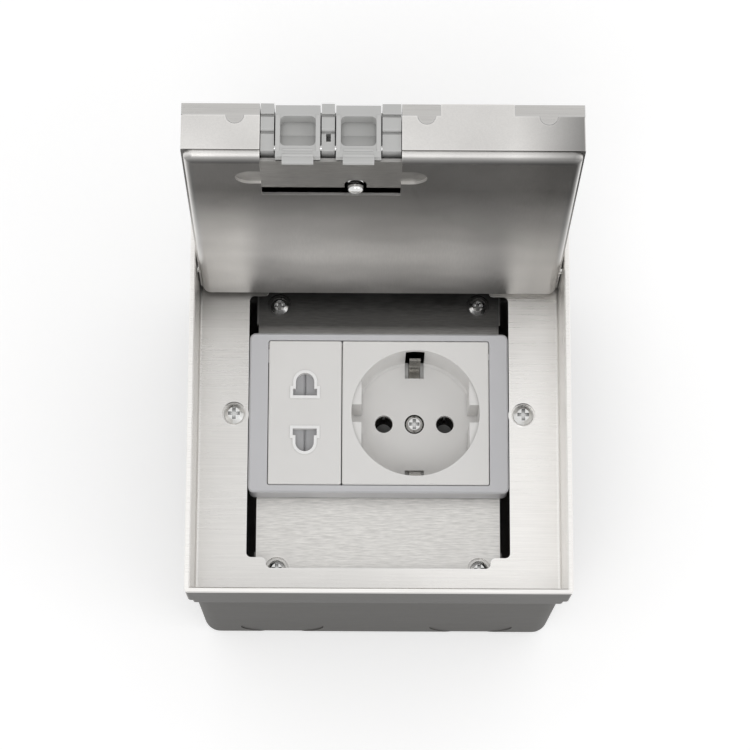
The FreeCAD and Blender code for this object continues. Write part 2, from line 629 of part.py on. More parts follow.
def make_universal_base():
    """Rear body of the narrow module, with a pocket under each hole for its contact clip."""
    body = new_body("universal_base")
    low = "module_top - universal_base_depth"
    edge = block(body, "block", *centred("universal_half_width - module_wall - 0.2", "universal_base_length / 2",
                                         "universal_x", "module_centre"), low, "universal_base_top")
    round_edges(body, edge, upright, "1")
    for side in (1, -1):
        name = "rear" if side > 0 else "front"
        middle = "module_centre + %d * (hole_inner + hole_outer) / 2" % side
        well(body, "pocket_" + name, *centred("contact_gap / 2 + contact_sheet + 0.1", "contact_gap / 2 + 1.2",
                                              "universal_x", middle),
             "universal_base_top - contact_height - 0.5", "universal_base_top")
    bore_up(body, "tapped", [("universal_x", "module_centre + %d * 14" % side) for side in (1, -1)], low)
    return body


def bore_up(body, name, places, low):
    """Seats for clamp screws, sunk into a moulded base from its underside."""
    sketch = new_sketch(body, name, level=low)
    for x, y in places:
        draw_circle(sketch, x, y, "terminal_screw_head / 2 + screw_play")
    return pocket(body, sketch, "terminal_screw_sink", reverse=True)


def make_universal_contacts():
    """Two sprung U clips of brass strip that grip the plug's pins."""
    clips = []
    for side in (1, -1):
        middle = "module_centre + %d * (hole_inner + hole_outer) / 2" % side
        clip = new_body("universal_contact_%s" % ("rear" if side > 0 else "front"),
                        ("universal_x", middle, "universal_base_top - contact_height - 0.5"))
        out, inn = "contact_gap / 2 + contact_sheet", "contact_gap / 2"
        right = [(out, "0", "contact_sheet"), (out, "contact_height"), (inn, "contact_height"),
                 (inn, "contact_sheet")]
        left = [("-(%s)" % c[0],) + c[1:] for c in reversed(right)]
        sketch = new_sketch(clip, "profile", "XZ_Plane")
        draw_outline(sketch, right + left)
        pad(clip, sketch, "contact_gap + 1.2", both=True)
        clips.append(clip)
    return group("universal_contacts", clips)


def terminal_screw_group(label, places, low):
    """Slotted clamp screws that stand out of the underside of a moulded base."""
    screws = []
    for i, (x, y) in enumerate(places):
        screw = new_body("%s_%d" % (label, i))
        end = "%s - terminal_screw_rise" % low
        post(screw, "head", [(x, y)], "terminal_screw_head / 2", end, "%s + terminal_screw_sink - 0.1" % low)
        slot = new_sketch(screw, "slot", level=end)
        draw_box(slot, *centred("0.4", "terminal_screw_head", x, y))
        pocket(screw, slot, "0.7", reverse=True)
        screws.append(screw)
    return group(label, screws)


# ---------------------------------------------------------------- earthed module
def make_schuko_front():
    """Front of the wide module: a round plug recess with side guides and two earth windows."""
    body = new_body("schuko_front")
    shell = block(body, "shell", *centred("module_half", "module_half", "schuko_x", "module_centre"),
                  "module_top - module_skirt", "module_top", "0.6")
    round_edges(body, shell, lambda e: at_level(e, amount("module_top")), "0.3", "Chamfer")
    well(body, "inside", *centred("module_half - module_wall", "module_half - module_wall",
                                  "schuko_x", "module_centre"), "module_top - module_skirt", "module_under")
    here = [("schuko_x", "module_centre")]
    post(body, "cup", here, "recess_width / 2 + recess_wall", "schuko_base_top", "module_under")
    recess = bore(body, "recess", here, "recess_width / 2", "recess_bottom", "module_top")
    round_edges(body, recess, lambda e: at_level(e, amount("recess_bottom")), "recess_round", "Chamfer")
    guides = new_sketch(body, "guides", level="recess_bottom")
    for sx in (1, -1):
        for sy in (1, -1):
            rim = [("schuko_x + %d * (recess_width / 2 + 0.5) * cos(%s deg)" % (sx, turn),
                    "module_centre + %d * (recess_width / 2 + 0.5) * sin(%s deg)" % (sy, turn))
                   for turn in ("16", "24", "33")]
            start = ("schuko_x + %d * guide_offset" % sx, "module_centre + %d * guide_notch / 2" % sy)
            foot = ("schuko_x + %d * (recess_width / 2 + 0.5)" % sx, "module_centre + %d * guide_notch / 2" % sy)
            last = ("schuko_x + %d * guide_offset" % sx,
                    "module_centre + %d * (recess_width / 2 + 0.5) * sin(33 deg)" % sy)
            draw_outline(guides, [start, foot] + rim + [last])
    pad(body, guides, "recess_depth - 1.2")
    bore(body, "pin_holes", [("schuko_x - pin_span / 2", "module_centre"), ("schuko_x + pin_span / 2", "module_centre")],
         "pin_hole / 2", "schuko_base_top", "recess_bottom")
    bore(body, "screw_seat", here, "centre_screw_head / 2 + 0.15", "recess_bottom - 1", "recess_bottom")
    bore(body, "screw_hole", here, "centre_screw_width / 2 + 0.15", "schuko_base_top", "recess_bottom - 1")
    for side in (1, -1):
        near = "module_centre + %d * (recess_width / 2 - 5)" % side
        far = "module_centre + %d * (recess_width / 2 + recess_wall + 0.1)" % side
        y0, y1 = (near, far) if side > 0 else (far, near)
        well(body, "earth_window_%s" % ("rear" if side > 0 else "front"), "schuko_x - earth_window / 2",
             "schuko_x + earth_window / 2", y0, y1, "schuko_base_top", "module_top - 2.2")
    module_ears(body, "schuko_x", "10")
    return body


def make_schuko_base():
    """Rear body of the wide module, bored for the contact sleeves and channelled for the earth strip."""
    body = new_body("schuko_base")
    low, top = "schuko_base_top - schuko_base_depth", "schuko_base_top"
    edge = block(body, "block", *centred("schuko_base_size / 2", "schuko_base_size / 2", "schuko_x", "module_centre"),
                 low, top)
    round_edges(body, edge, upright, "3")
    bore(body, "sleeve_bores", [("schuko_x - pin_span / 2", "module_centre"), ("schuko_x + pin_span / 2", "module_centre")],
         "sleeve_width / 2 + 0.05", "schuko_base_top - sleeve_length", top)
    well(body, "channel", *centred("earth_strip_width / 2 + 0.2", "schuko_base_size / 2 + 1", "schuko_x", "module_centre"),
         "schuko_base_top - earth_strip_sheet - 0.1", top)
    bore(body, "screw_bore", [("schuko_x", "module_centre")], "centre_screw_width / 2 + screw_play",
         "schuko_base_top - 9", "schuko_base_top - earth_strip_sheet - 0.1")
    bore_up(body, "tapped", SCHUKO_TERMINALS, low)
    return body


SCHUKO_TERMINALS = [("schuko_x - pin_span / 2", "module_centre - 12"), ("schuko_x", "module_centre - 12"),
                    ("schuko_x + pin_span / 2", "module_centre - 12")]


def make_schuko_contacts():
    """Two split brass sleeves under the pin holes."""
    sleeves = []
    for side in (1, -1):
        sleeve = new_body("schuko_contact_%s" % ("right" if side > 0 else "left"),
                          ("schuko_x + %d * pin_span / 2" % side, "module_centre", "schuko_base_top - sleeve_length"))
        turned(sleeve, "profile", [("sleeve_bore / 2", "0"), ("sleeve_width / 2", "0"),
                                   ("sleeve_width / 2", "sleeve_length - 0.1"), ("sleeve_bore / 2", "sleeve_length - 0.1")])
        slit = new_sketch(sleeve, "slit", level="sleeve_length")
        draw_box(slit, *centred("0.4", "sleeve_width"))
        pocket(sleeve, slit, "sleeve_length - 2")
        sleeves.append(sleeve)
    return group("schuko_contacts", sleeves)


def make_schuko_earth_strip():
    """One bent strip that runs under the recess and comes up as a sprung tongue in each window."""
    body = new_body("schuko_earth_strip", ("schuko_x", "module_centre", "schuko_base_top - earth_strip_sheet"))
    t, wall = "earth_strip_sheet", "recess_width / 2 - 0.4"
    rise = "recess_floor + earth_strip_sheet + earth_strip_rise"
    outer = [(wall, "0", t), (wall, "recess_floor + 3", "2"), ("%s - 2" % wall, "%s - 3" % rise, "1.5"),
             ("%s - 0.6" % wall, rise)]
    inner = [("%s - %s" % (wall, t), t), ("%s - %s" % (wall, t), "recess_floor + 2.8", "1.5"),
             ("%s - 2 - %s" % (wall, t), "%s - 3" % rise, "2"), ("%s - 0.6 - %s" % (wall, t), rise)]
    right = outer + list(reversed(inner))
    left = [("-(%s)" % c[0],) + c[1:] for c in reversed(right)]
    side_profile(body, "profile", right + left, "earth_strip_width")
    bore(body, "screw_hole", [("0", "0")], "centre_screw_width / 2 + 0.05", "0", t)
    return body


def make_schuko_screw():
    return cross_screw("schuko_screw", ("schuko_x", "module_centre", "recess_bottom - 1"), "centre_screw_width",
                       "centre_screw_head", "1.5", "8")


# ---------------------------------------------------------------- lid
TONGUE = ("15.6", "35.7")
TABS = ("-40.2", "11.8", "44.9")


def behind(distance):
    """The y of a place measured back from the lid's free edge."""
    return "lid_front + (%s)" % distance


def below(distance):
    """The z of a place measured down from the lid's outer face, lid shut."""
    return "lid_top - (%s)" % distance


def front_face(body, name, depth="0"):
    """A sketch on the lid's free edge, or set back from it, seen from the front."""
    return new_sketch(body, name, "XZ_Plane", "-(lid_front + %s)" % depth)


def make_lid_cover():
    """Outer plate of the lid: lipped edges with weld tabs, its tail rolled down over the hinge side."""
    body = on_lid(new_body("lid_cover"))
    inner_tail, tail_end = "lid_tail - cover_sheet", below("band_end")
    side_profile(body, "profile", [
        ("lid_front", below("lip_height")), (behind("lip_sheet"), below("lip_height")),
        (behind("lip_sheet"), below("cover_sheet")),
        (inner_tail, below("cover_sheet"), "tail_round - cover_sheet"), (inner_tail, tail_end),
        ("lid_tail", tail_end), ("lid_tail", "lid_top", "tail_round"), ("lid_front", "lid_top", "0.25")],
        "2 * lid_half_width")
    cheek = "lid_tail - tail_round - 1"
    corners = [("lid_front", below("lip_height")), (cheek, below("lip_height")),
               (cheek, below("tail_round + 1")), ("lid_tail", below("tail_round + 1")),
               ("lid_tail", "lid_top", "tail_round"), ("lid_front", "lid_top", "0.25")]
    for name, x in (("right", "lid_half_width - lip_sheet / 2"), ("left", "lip_sheet / 2 - lid_half_width")):
        side_profile(body, "cheek_" + name, corners, "lip_sheet", x)
    for tab in TABS:
        sketch = front_face(body, "tab_%d" % TABS.index(tab))
        draw_circle(sketch, tab, below("lip_height"), "tab_width / 2")
        pad(body, sketch, "lip_sheet", reverse=True)
    well(body, "outlet_notch", "-outlet_left", "outlet_right", behind("-1"), behind("outlet_notch"),
         below("lip_height + 3"), "lid_top")
    well(body, "tongue_notch", TONGUE[0], TONGUE[1], behind("-1"), behind("lip_sheet + 0.02"),
         below("lip_height + 3"), "lid_top")
    return body


def make_lid_pan():
    """Inner pan of the lid: drawn tray with a folded-over outer band, cut out for the cable outlet."""
    body = on_lid(new_body("lid_pan"))
    tray = block(body, "tray", "-(pan_half_width)", "pan_half_width", "pan_front", "pan_tail",
                 "lid_under", below("cover_sheet"), "pan_bend + 0.2")
    round_edges(body, tray, lambda e: at_level(e, amount("lid_under")), "pan_bend")
    inside = well(body, "inside", "pan_sheet - (pan_half_width)", "pan_half_width - pan_sheet", "pan_front + pan_sheet",
                  "pan_tail - pan_sheet", "plate_under", below("cover_sheet"), "pan_bend + 0.2 - pan_sheet")
    floor = amount("plate_under")
    round_edges(body, inside, lambda e: at_level(e, floor), "pan_bend - pan_sheet")
    band = new_sketch(body, "band", level=below("band_end"))
    draw_box(band, "-(lid_half_width)", "lid_half_width", "lid_front", "pan_tail", "0.6")
    draw_box(band, "0.3 - (pan_half_width)", "pan_half_width - 0.3", "pan_front + 0.3", "pan_tail - 0.3",
             "pan_bend")
    pad(body, band, "band_end - lip_height")
    block(body, "tongue", TONGUE[0] + " + 0.05", TONGUE[1] + " - 0.05", "lid_front", behind("lip_sheet"),
          below("lip_height"), "lid_top")
    well(body, "tail_trim", "-(lid_half_width) - 1", "lid_half_width + 1", "lid_tail - tail_round - 1 - 0.05",
         "lid_tail + 1", below("tail_round + 1.05"), "lid_top")
    well(body, "outlet", "-outlet_left", "outlet_right", behind("-1"), behind("outlet_hole_depth"),
         "lid_under - 1", "lid_top")
    radius = "(ear_rear - ear_front) / 2 - 0.01"
    well(body, "ears", "-ear_left", "ear_right", behind("ear_front"), behind("ear_rear"), "lid_under", "plate_under",
         radius)
    for tab in TABS:
        sketch = front_face(body, "tab_recess_%d" % TABS.index(tab))
        draw_circle(sketch, tab, below("lip_height"), "tab_width / 2 + tab_play")
        pocket(body, sketch, "lip_sheet")
    cross_bore(body, "pin_bore", "0", "0", "pin_width / 2 + pin_play", "frame_width")
    return body


def make_hinge_plates():
    """Two welded doubler plates inside the lid's side walls that run on the hinge pins."""
    plates = []
    for side in (1, -1):
        plate = on_lid(new_body("hinge_plate_%s" % ("right" if side > 0 else "left")))
        outer = "%d * (pan_half_width - pan_sheet)" % side
        inner = "%d * (pan_half_width - pan_sheet - hinge_plate_sheet)" % side
        sketch = new_sketch(plate, "profile", "XZ_Plane", "hinge_plate_size / 2")
        draw_outline(sketch, [(inner, "plate_under"), (outer, "plate_under", "pan_bend - pan_sheet + 0.1"),
                              (outer, "hinge_plate_size / 2 - 3"), (inner, "hinge_plate_size / 2 - 3")])
        pad(plate, sketch, "hinge_plate_size - 1.5", reverse=True)
        cross_bore(plate, "bore", "0", "0", "pin_width / 2 + pin_play", "frame_width")
        plates.append(plate)
    return group("hinge_plates", plates)


def make_lid_stud():
    """Weld stud inside the lid that holds the outlet's backing plate; its round end shows."""
    body = on_lid(new_body("lid_stud"))
    low = "lid_under + 0.9"
    stem = post(body, "stem", [("-stud_offset", behind("stud_back"))], "stud_width / 2", low, below("cover_sheet"))
    round_edges(body, stem, lambda e: at_level(e, amount(low)), "0.6", "Chamfer")
    dimple = new_sketch(body, "dimple", level=low)
    draw_circle(dimple, "-stud_offset", behind("stud_back"), "stud_width / 2 - 1.3")
    pocket(body, dimple, "0.6", reverse=True)
    return body


# ---------------------------------------------------------------- cable outlet
OUTLET_CENTRE = "(outlet_right - outlet_left) / 2"
FLAP_CENTRES = {"left": "-flap_centre_left", "right": "-flap_centre_right"}


def make_outlet_housing():
    """Moulded housing in the lid's free edge, banded on its front, with a bay for each flap."""
    body = on_lid(new_body("outlet_housing"))
    back, seat, open_depth = behind("outlet_back - outlet_play"), "plate_top", behind("flap_depth + 1")
    side_profile(body, "profile", [
        (behind("0.2"), "lid_top"), (back, "lid_top"), (back, seat), (open_depth, seat),
        (open_depth, below("band_end")), (behind("1"), below("band_end")), (behind("1"), below("8.6")),
        (behind("1.7"), below("8.6")), (behind("1.7"), below("7.8")), (behind("0.5"), below("7.8"), "0.9"),
        (behind("0.5"), below("3.5"), "0.5"), (behind("1.1"), below("3.5")), (behind("1.1"), below("3")),
        (behind("0.2"), below("3"))], "outlet_left + outlet_right - 2 * outlet_play", OUTLET_CENTRE)
    for name, centre in FLAP_CENTRES.items():
        bay = new_sketch(body, "bay_" + name, "YZ_Plane", centre)
        mouth, rear = behind("flap_depth + flap_play"), behind("bay_rear")
        draw_outline(bay, [
            (behind("-1"), below("-1")), (mouth, below("-1")), (mouth, below("bay_roof")),
            (behind("bay_rear - 1.3"), below("bay_roof + 2.5")), (rear, below("bay_roof + 5")),
            (rear, below("bay_floor")), (mouth, below("bay_floor")), (mouth, below("band_end + 2")),
            (behind("-1"), below("band_end + 2"))])
        pocket(body, bay, "flap_width + 2 * flap_play", both=True)
        cross_bore(body, "pin_seat_" + name, behind("flap_pin_inset"), below("flap_pin_drop"),
                   "flap_pin_width / 2 + screw_play", "flap_width + 2 * flap_play + 3.4", centre)
    slot = front_face(body, "slot")
    draw_box(slot, "-15.45", "-14.15", below("10.8"), below("8.1"))
    pocket(body, slot, "5")
    return body


def make_outlet_plate():
    """Brushed backing plate under the housing, notched round the lid stud."""
    body = on_lid(new_body("outlet_plate"))
    block(body, "plate", "-plate_left", "plate_right", behind("plate_front"), behind("plate_rear"),
          "plate_under", "plate_top")
    bore(body, "notch", [("-stud_offset", behind("stud_back"))], "stud_notch / 2", "plate_under", "plate_top")
    well(body, "notch_mouth", "-stud_offset - stud_notch / 2", "stud_notch / 2 - stud_offset", behind("stud_back"),
         behind("plate_rear + 1"), "plate_under", "plate_top")
    return body


def make_flap(label, centre):
    """A flap that tips in on pins at its foot: a scoop between two arms, with a hooked lip below them."""
    body = on_lid(new_body(label))
    face, foot, rear = behind("flap_inset"), behind("plate_front - 0.4"), behind("flap_depth")
    side_profile(body, "profile", [
        (face, below("flap_top"), "0.3"), (rear, below("flap_top + 1"), "0.6"), (rear, below("flap_knee")),
        (behind("flap_arm_depth"), below("flap_knee")), (behind("flap_arm_depth"), below("flap_knee + 0.7")),
        (foot, below("flap_knee + 1.3")), (foot, below("flap_arm_end")), (face, below("flap_arm_end"))],
        "flap_width", centre)
    cup = front_face(body, "cup", "flap_inset")
    draw_box(cup, "%s - cup_width / 2" % centre, "%s + cup_width / 2" % centre, below("cup_bottom"), below("cup_top"),
             "cup_round")
    pocket(body, cup, "cup_depth")
    side_profile(body, "ramp", [
        (behind("flap_inset + 1.2"), below("cup_bottom + 0.2")), (behind("flap_inset + cup_depth + 0.3"), below("flap_heel - 1")),
        (behind("flap_inset + cup_depth + 0.3"), below("cup_bottom + 0.2"))], "cup_width + 0.4", centre)
    slant = new_sketch(body, "slant", "YZ_Plane", centre)
    draw_outline(slant, [(behind("flap_depth + 1"), below("flap_heel - 1.53")), (behind("flap_depth + 1"), below("flap_knee + 1")),
                         (behind("flap_arm_depth"), below("flap_knee + 1")), (behind("flap_arm_depth"), below("flap_heel + 3.06"))])
    pocket(body, slant, "flap_width + 1", both=True)
    side_profile(body, "hook", [
        (face, below("flap_arm_end")), (face, below("hook_end"), "0.4"),
        (behind("flap_inset + hook_sheet"), below("hook_end"), "0.4"),
        (behind("flap_inset + hook_sheet"), below("flap_arm_end"))], "hook_width", centre)
    for side in (1, -1):
        cross_bore(body, "pin_bore_%s" % ("right" if side > 0 else "left"), behind("flap_pin_inset"),
                   below("flap_pin_drop"), "flap_pin_width / 2 + pin_play", "2 * (flap_pin_grip + 0.1)",
                   "%s + %d * flap_width / 2" % (centre, side))
    return body


def make_flap_pins():
    """Four pin stubs, one each side of each flap, pressed into the housing."""
    stubs = []
    length = "flap_pin_grip + flap_play + 1.6"
    for name, centre in FLAP_CENTRES.items():
        for side in (1, -1):
            stub = on_lid(new_body("flap_pin_%s_%d" % (name, side)))
            middle = "%s + %d * (flap_width / 2 - flap_pin_grip + (%s) / 2)" % (centre, side, length)
            sketch = new_sketch(stub, "section", "YZ_Plane", middle)
            draw_circle(sketch, behind("flap_pin_inset"), below("flap_pin_drop"), "flap_pin_width / 2")
            pad(stub, sketch, length, both=True)
            stubs.append(stub)
    return group("flap_pins", stubs)


# ---------------------------------------------------------------- assembly
UNIVERSAL_TERMINALS = [("universal_x", "module_centre + %d * 14" % side) for side in (1, -1)]
nodes = [
    make_frame(), make_hinge_pins(), make_frame_screws(), make_back_box(), make_box_lugs(),
    make_carrier_bracket("carrier_bracket_front", "-1", "carrier_screw_front"),
    make_carrier_bracket("carrier_bracket_rear", "1", "carrier_screw_rear"),
    make_earth_terminal(), make_earth_screw(), make_carrier_plate(), make_carrier_screws(), make_faceplate(),
    make_universal_front(), make_universal_base(), make_universal_contacts(),
    terminal_screw_group("universal_terminals", UNIVERSAL_TERMINALS, "module_top - universal_base_depth"),
    make_shutter("shutter_left", -1), make_shutter("shutter_right", 1),
    make_schuko_front(), make_schuko_base(), make_schuko_contacts(), make_schuko_earth_strip(), make_schuko_screw(),
    terminal_screw_group("schuko_terminals", SCHUKO_TERMINALS, "schuko_base_top - schuko_base_depth"),
    make_lid_cover(), make_lid_pan(), make_hinge_plates(), make_lid_stud(), make_outlet_housing(),
    make_outlet_plate(), make_flap("outlet_flap_left", FLAP_CENTRES["left"]),
    make_flap("outlet_flap_right", FLAP_CENTRES["right"]), make_flap_pins(),
]
doc.recompute()

for thing in doc.Objects:
    if "Invalid" in thing.State or "Error" in thing.State:
        raise ValueError("%s failed: %s" % (thing.Name, thing.State))
for node in nodes:
    if node.Shape.isNull() or not node.Shape.isValid():
        raise ValueError("%s has no valid shape" % node.Label)
    node.Shape.exportStep("parts/%s.step" % node.Label)
    print("%-22s %2d solid(s) %10.1f mm3" % (node.Label, len(node.Shape.Solids), node.Shape.Volume))
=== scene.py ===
"""Looks of the floor socket box: finishes, small details, light and the photograph's camera."""
import json
import math

import bmesh
import bpy
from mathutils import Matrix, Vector


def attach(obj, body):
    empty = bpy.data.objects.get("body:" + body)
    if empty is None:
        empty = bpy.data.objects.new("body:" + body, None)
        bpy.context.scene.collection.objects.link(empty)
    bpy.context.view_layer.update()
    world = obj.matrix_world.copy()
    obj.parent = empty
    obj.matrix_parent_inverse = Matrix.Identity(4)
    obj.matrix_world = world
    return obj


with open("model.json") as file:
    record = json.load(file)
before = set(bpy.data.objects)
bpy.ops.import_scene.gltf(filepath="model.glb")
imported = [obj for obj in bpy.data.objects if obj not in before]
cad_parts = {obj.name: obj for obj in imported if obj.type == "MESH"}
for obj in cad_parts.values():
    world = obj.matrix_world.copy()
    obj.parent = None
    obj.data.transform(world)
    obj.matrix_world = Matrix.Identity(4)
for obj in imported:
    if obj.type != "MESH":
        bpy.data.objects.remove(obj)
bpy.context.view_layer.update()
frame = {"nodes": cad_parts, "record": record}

SCENE = bpy.context.scene
MM = 0.001

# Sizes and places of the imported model, in mm and degrees, as in the part's source
TOTAL_HEIGHT, RING_DEPTH, MODULE_RISE, RECESS_DEPTH = 98.0, 25.8, 0.4, 17.5
HINGE_Y, HINGE_DROP, OPEN_ANGLE = 42.4, 12.0, 95.1
LID_LENGTH, LID_TAIL = 109.1, 12.95
STUD_X, STUD_BACK = -7.4, 19.4
FLAP_CENTRES = {"left": -23.1, "right": -6.65}
EARTHED_MODULE = (11.25, 0.5)

MODULE_TOP = TOTAL_HEIGHT - RING_DEPTH + MODULE_RISE
RECESS_FLOOR = MODULE_TOP - RECESS_DEPTH


# ---------------------------------------------------------------- finishes
# Factor, A and B sockets and the result of a Mix node, by its kind
MIX_SOCKETS = {"FLOAT": (0, 2, 3, 0), "RGBA": (0, 6, 7, 2)}


class Finish:
    """One material, built from the object's own coordinates so that it rides with its piece."""

    def __init__(self, name, colour, metallic):
        self.material = bpy.data.materials.new(name)
        self.material.use_nodes = True
        self.tree = self.material.node_tree
        self.shader = self.tree.nodes["Principled BSDF"]
        self.shader.inputs["Metallic"].default_value = metallic
        self.colour = colour
        self.place = self.node("ShaderNodeTexCoord")

    def node(self, kind, **values):
        made = self.tree.nodes.new(kind)
        for key, value in values.items():
            setattr(made, key, value)
        return made

    def feed(self, value, socket):
        """Joins a node's output to a socket, or sets the socket where the value is a plain one."""
        if isinstance(value, bpy.types.NodeSocket):
            self.tree.links.new(value, socket)
        else:
            socket.default_value = value

    def noise(self, scale, detail=2.0, roughness=0.5, stretch=(1, 1, 1)):
        """Noise of 0 to 1, mostly near the middle; scale is in features per metre."""
        mapping = self.node("ShaderNodeMapping")
        self.feed(stretch, mapping.inputs["Scale"])
        self.feed(self.place.outputs["Object"], mapping.inputs["Vector"])
        made = self.node("ShaderNodeTexNoise")
        self.feed(scale, made.inputs["Scale"])
        self.feed(detail, made.inputs["Detail"])
        self.feed(roughness, made.inputs["Roughness"])
        self.feed(mapping.outputs["Vector"], made.inputs["Vector"])
        return made.outputs["Fac"]

    def ranged(self, value, low, high, start=0.3, end=0.7):
        """Low where the value is at the start, high where it is at the end."""
        made = self.node("ShaderNodeMapRange")
        self.feed(value, made.inputs["Value"])
        self.feed(start, made.inputs["From Min"])
        self.feed(end, made.inputs["From Max"])
        self.feed(low, made.inputs["To Min"])
        self.feed(high, made.inputs["To Max"])
        return made.outputs["Result"]

    def mixed(self, factor, one, two, kind="RGBA", blend="MIX"):
        made = self.node("ShaderNodeMix", data_type=kind, blend_type=blend)
        *sockets, result = MIX_SOCKETS[kind]
        for index, value in zip(sockets, (factor, one, two)):
            self.feed(value, made.inputs[index])
        return made.outputs[result]

    def maths(self, operation, *values):
        made = self.node("ShaderNodeMath", operation=operation)
        for value, socket in zip(values, made.inputs):
            self.feed(value, socket)
        return made.outputs[0]

    def shade(self, factor):
        """The finish's own colour, made lighter or darker."""
        return tuple(min(1.0, channel * factor) for channel in self.colour) + (1,)

    def along(self, source, axis):
        """One component of the object's own position or normal."""
        parts = self.node("ShaderNodeSeparateXYZ")
        self.feed(self.place.outputs[source], parts.inputs[0])
        return parts.outputs["XYZ".index(axis)]

    def dimmed(self, colour, amount, share):
        """Darkens a colour, down to a share of itself where the amount is 1."""
        grey = self.node("ShaderNodeCombineColor")
        level = self.ranged(amount, low=1.0, high=share, start=0.0, end=1.0)
        for socket in grey.inputs[:3]:
            self.feed(level, socket)
        return self.mixed(1.0, colour, grey.outputs[0], blend="MULTIPLY")

    def openness(self, inside, reach):
        """1 on open faces, less at outer edges (inside) or at the bottoms of recesses."""
        made = self.node("ShaderNodeAmbientOcclusion", inside=inside, only_local=True, samples=6)
        self.feed(reach, made.inputs["Distance"])
        return made.outputs["AO"]

    def edge_wear(self, colour, strength):
        """Brightens outer edges, where handling polishes them."""
        openness = self.openness(inside=True, reach=0.5 * MM)
        worn = self.ranged(openness, low=strength, high=0.0, start=0.45, end=0.95)
        return self.mixed(worn, colour, self.shade(1.25))

    def crevice_shade(self, colour, share):
        """Painted shade: darkens the bottoms of slots and recesses."""
        openness = self.openness(inside=False, reach=1.2 * MM)
        deep = self.ranged(openness, low=1.0, high=0.0, start=0.35, end=0.95)
        return self.dimmed(colour, deep, share)

    def finish(self, colour, roughness, height, strength, depth):
        """Joins colour, roughness and a bump of a strength and depth to the shader."""
        bump = self.node("ShaderNodeBump")
        self.feed(height, bump.inputs["Height"])
        self.feed(strength, bump.inputs["Strength"])
        self.feed(depth, bump.inputs["Distance"])
        self.feed(colour, self.shader.inputs["Base Color"])
        self.feed(roughness, self.shader.inputs["Roughness"])
        self.feed(bump.outputs["Normal"], self.shader.inputs["Normal"])
        return self.material


def brushed_metal(name, colour, roughness, grain=1.0, spread=0.06, along="X", painted_waves=0.0,
                  scratches=0.02, edge_tint=1.0, painted_shade=()):
    """Brushed sheet, with streaks along one axis, and across it where a face looks along X.

    The streaks have a grain (strength), a spread of tone and a thickness to length (scratches).
    The ripple sets the strength of broad dark waves, a painted reflection, and edge_tint the
    reflection at grazing angles.
    Each entry of tarnish is painted shade: a share of the colour, and the conditions under which
    the sheet is painted that dark.
    """
    made = Finish(name, colour, metallic=1.0)
    stretch = {"X": (scratches, 1, 1), "Y": (1, scratches, 1), "Z": (1, 1, scratches)}
    across = "Y" if along == "X" else "X"
    brush = dict(scale=2600, detail=3.0, roughness=0.65)
    main = made.noise(stretch=stretch[along], **brush)
    side = made.noise(stretch=stretch[across], **brush)
    sideways = made.maths("ABSOLUTE", made.along("Normal", "X"))
    sideways = made.ranged(sideways, low=0, high=1, start=0.6, end=0.8)
    streak = made.mixed(sideways, main, side, kind="FLOAT")
    cloud = made.noise(scale=45, detail=4.0, roughness=0.6)
    wave = made.noise(scale=34, detail=1.5, roughness=0.4, stretch=(1, 1, 1.6))

    tone = made.mixed(made.ranged(streak, low=0, high=1),
                      made.shade(1 - spread * grain), made.shade(1 + spread * grain))
    tone = made.mixed(made.ranged(cloud, low=0, high=0.25), tone, made.shade(0.90))
    # painted reflection: broad dark waves
    waves = made.ranged(wave, low=0, high=painted_waves, start=0.40, end=0.62)
    tone = made.mixed(waves, tone, made.shade(0.45))
    tone = made.edge_wear(tone, strength=0.5)
    glint = (edge_tint, edge_tint, edge_tint, 1)
    # painted shade: each entry darkens the colour and the tint of its reflection where a face lies
    # and looks as given; a share above 1 lightens them instead
    for share, *conditions in painted_shade:
        amount = 1.0
        for source, axis, start, end in conditions:
            met = made.ranged(made.along(source, axis), 0, 1, start, end)
            amount = made.maths("MULTIPLY", met, amount)
        tone = made.dimmed(tone, amount, share)
        glint = made.dimmed(glint, amount, share)
    made.feed(glint, made.shader.inputs["Specular Tint"])
    rough = made.maths("ADD", made.ranged(streak, roughness - 0.05, roughness + 0.07),
                       made.ranged(cloud, -0.03, 0.04))
    return made.finish(tone, rough, streak, strength=0.22 * grain, depth=0.06 * MM)


def plated_metal(name, colour, roughness):
    """Plated or turned metal: smooth, with faint clouding and handling marks."""
    made = Finish(name, colour, metallic=1.0)
    cloud = made.noise(scale=160, detail=5.0, roughness=0.6)
    fine = made.noise(scale=1800, detail=3.0)
    tone = made.mixed(made.ranged(cloud, low=0, high=0.5), made.shade(1.0), made.shade(0.84))
    # painted shade at the bottoms of recesses
    tone = made.crevice_shade(made.edge_wear(tone, strength=0.4), share=0.25)
    rough = made.ranged(cloud, roughness - 0.04, roughness + 0.1)
    return made.finish(tone, rough, fine, strength=0.06, depth=0.04 * MM)


def moulded_plastic(name, colour, roughness=0.42, texture=0.15, bright_above=None):
    """Moulded plastic: fine grain, slight flow clouding and polished edges.

    Bright_above is a height in mm over which it is nearly white, on borders that catch the light.
    """
    made = Finish(name, colour, metallic=0.0)
    cloud = made.noise(scale=60, detail=3.0)
    fine = made.noise(scale=3200)
    tone = made.mixed(made.ranged(cloud, low=0, high=0.6), made.shade(1.0), made.shade(0.95))
    # painted shade at the bottoms of recesses
    tone = made.crevice_shade(made.edge_wear(tone, strength=0.25), share=0.75)
    if bright_above is not None:
        raised = made.ranged(made.along("Object", "Z"), 0, 1,
                             bright_above * MM, (bright_above + 0.1) * MM)
        tone = made.mixed(raised, tone, (0.99, 0.99, 0.985, 1))
    made.shader.inputs["IOR"].default_value = 1.48
    rough = made.ranged(cloud, roughness - 0.04, roughness + 0.06)
    return made.finish(tone, rough, fine, strength=texture, depth=0.03 * MM)


def looks(axis, start, end):
    """A condition on the way that a face looks: not met at the start, fully met at the end."""
    return "Normal", axis, start, end


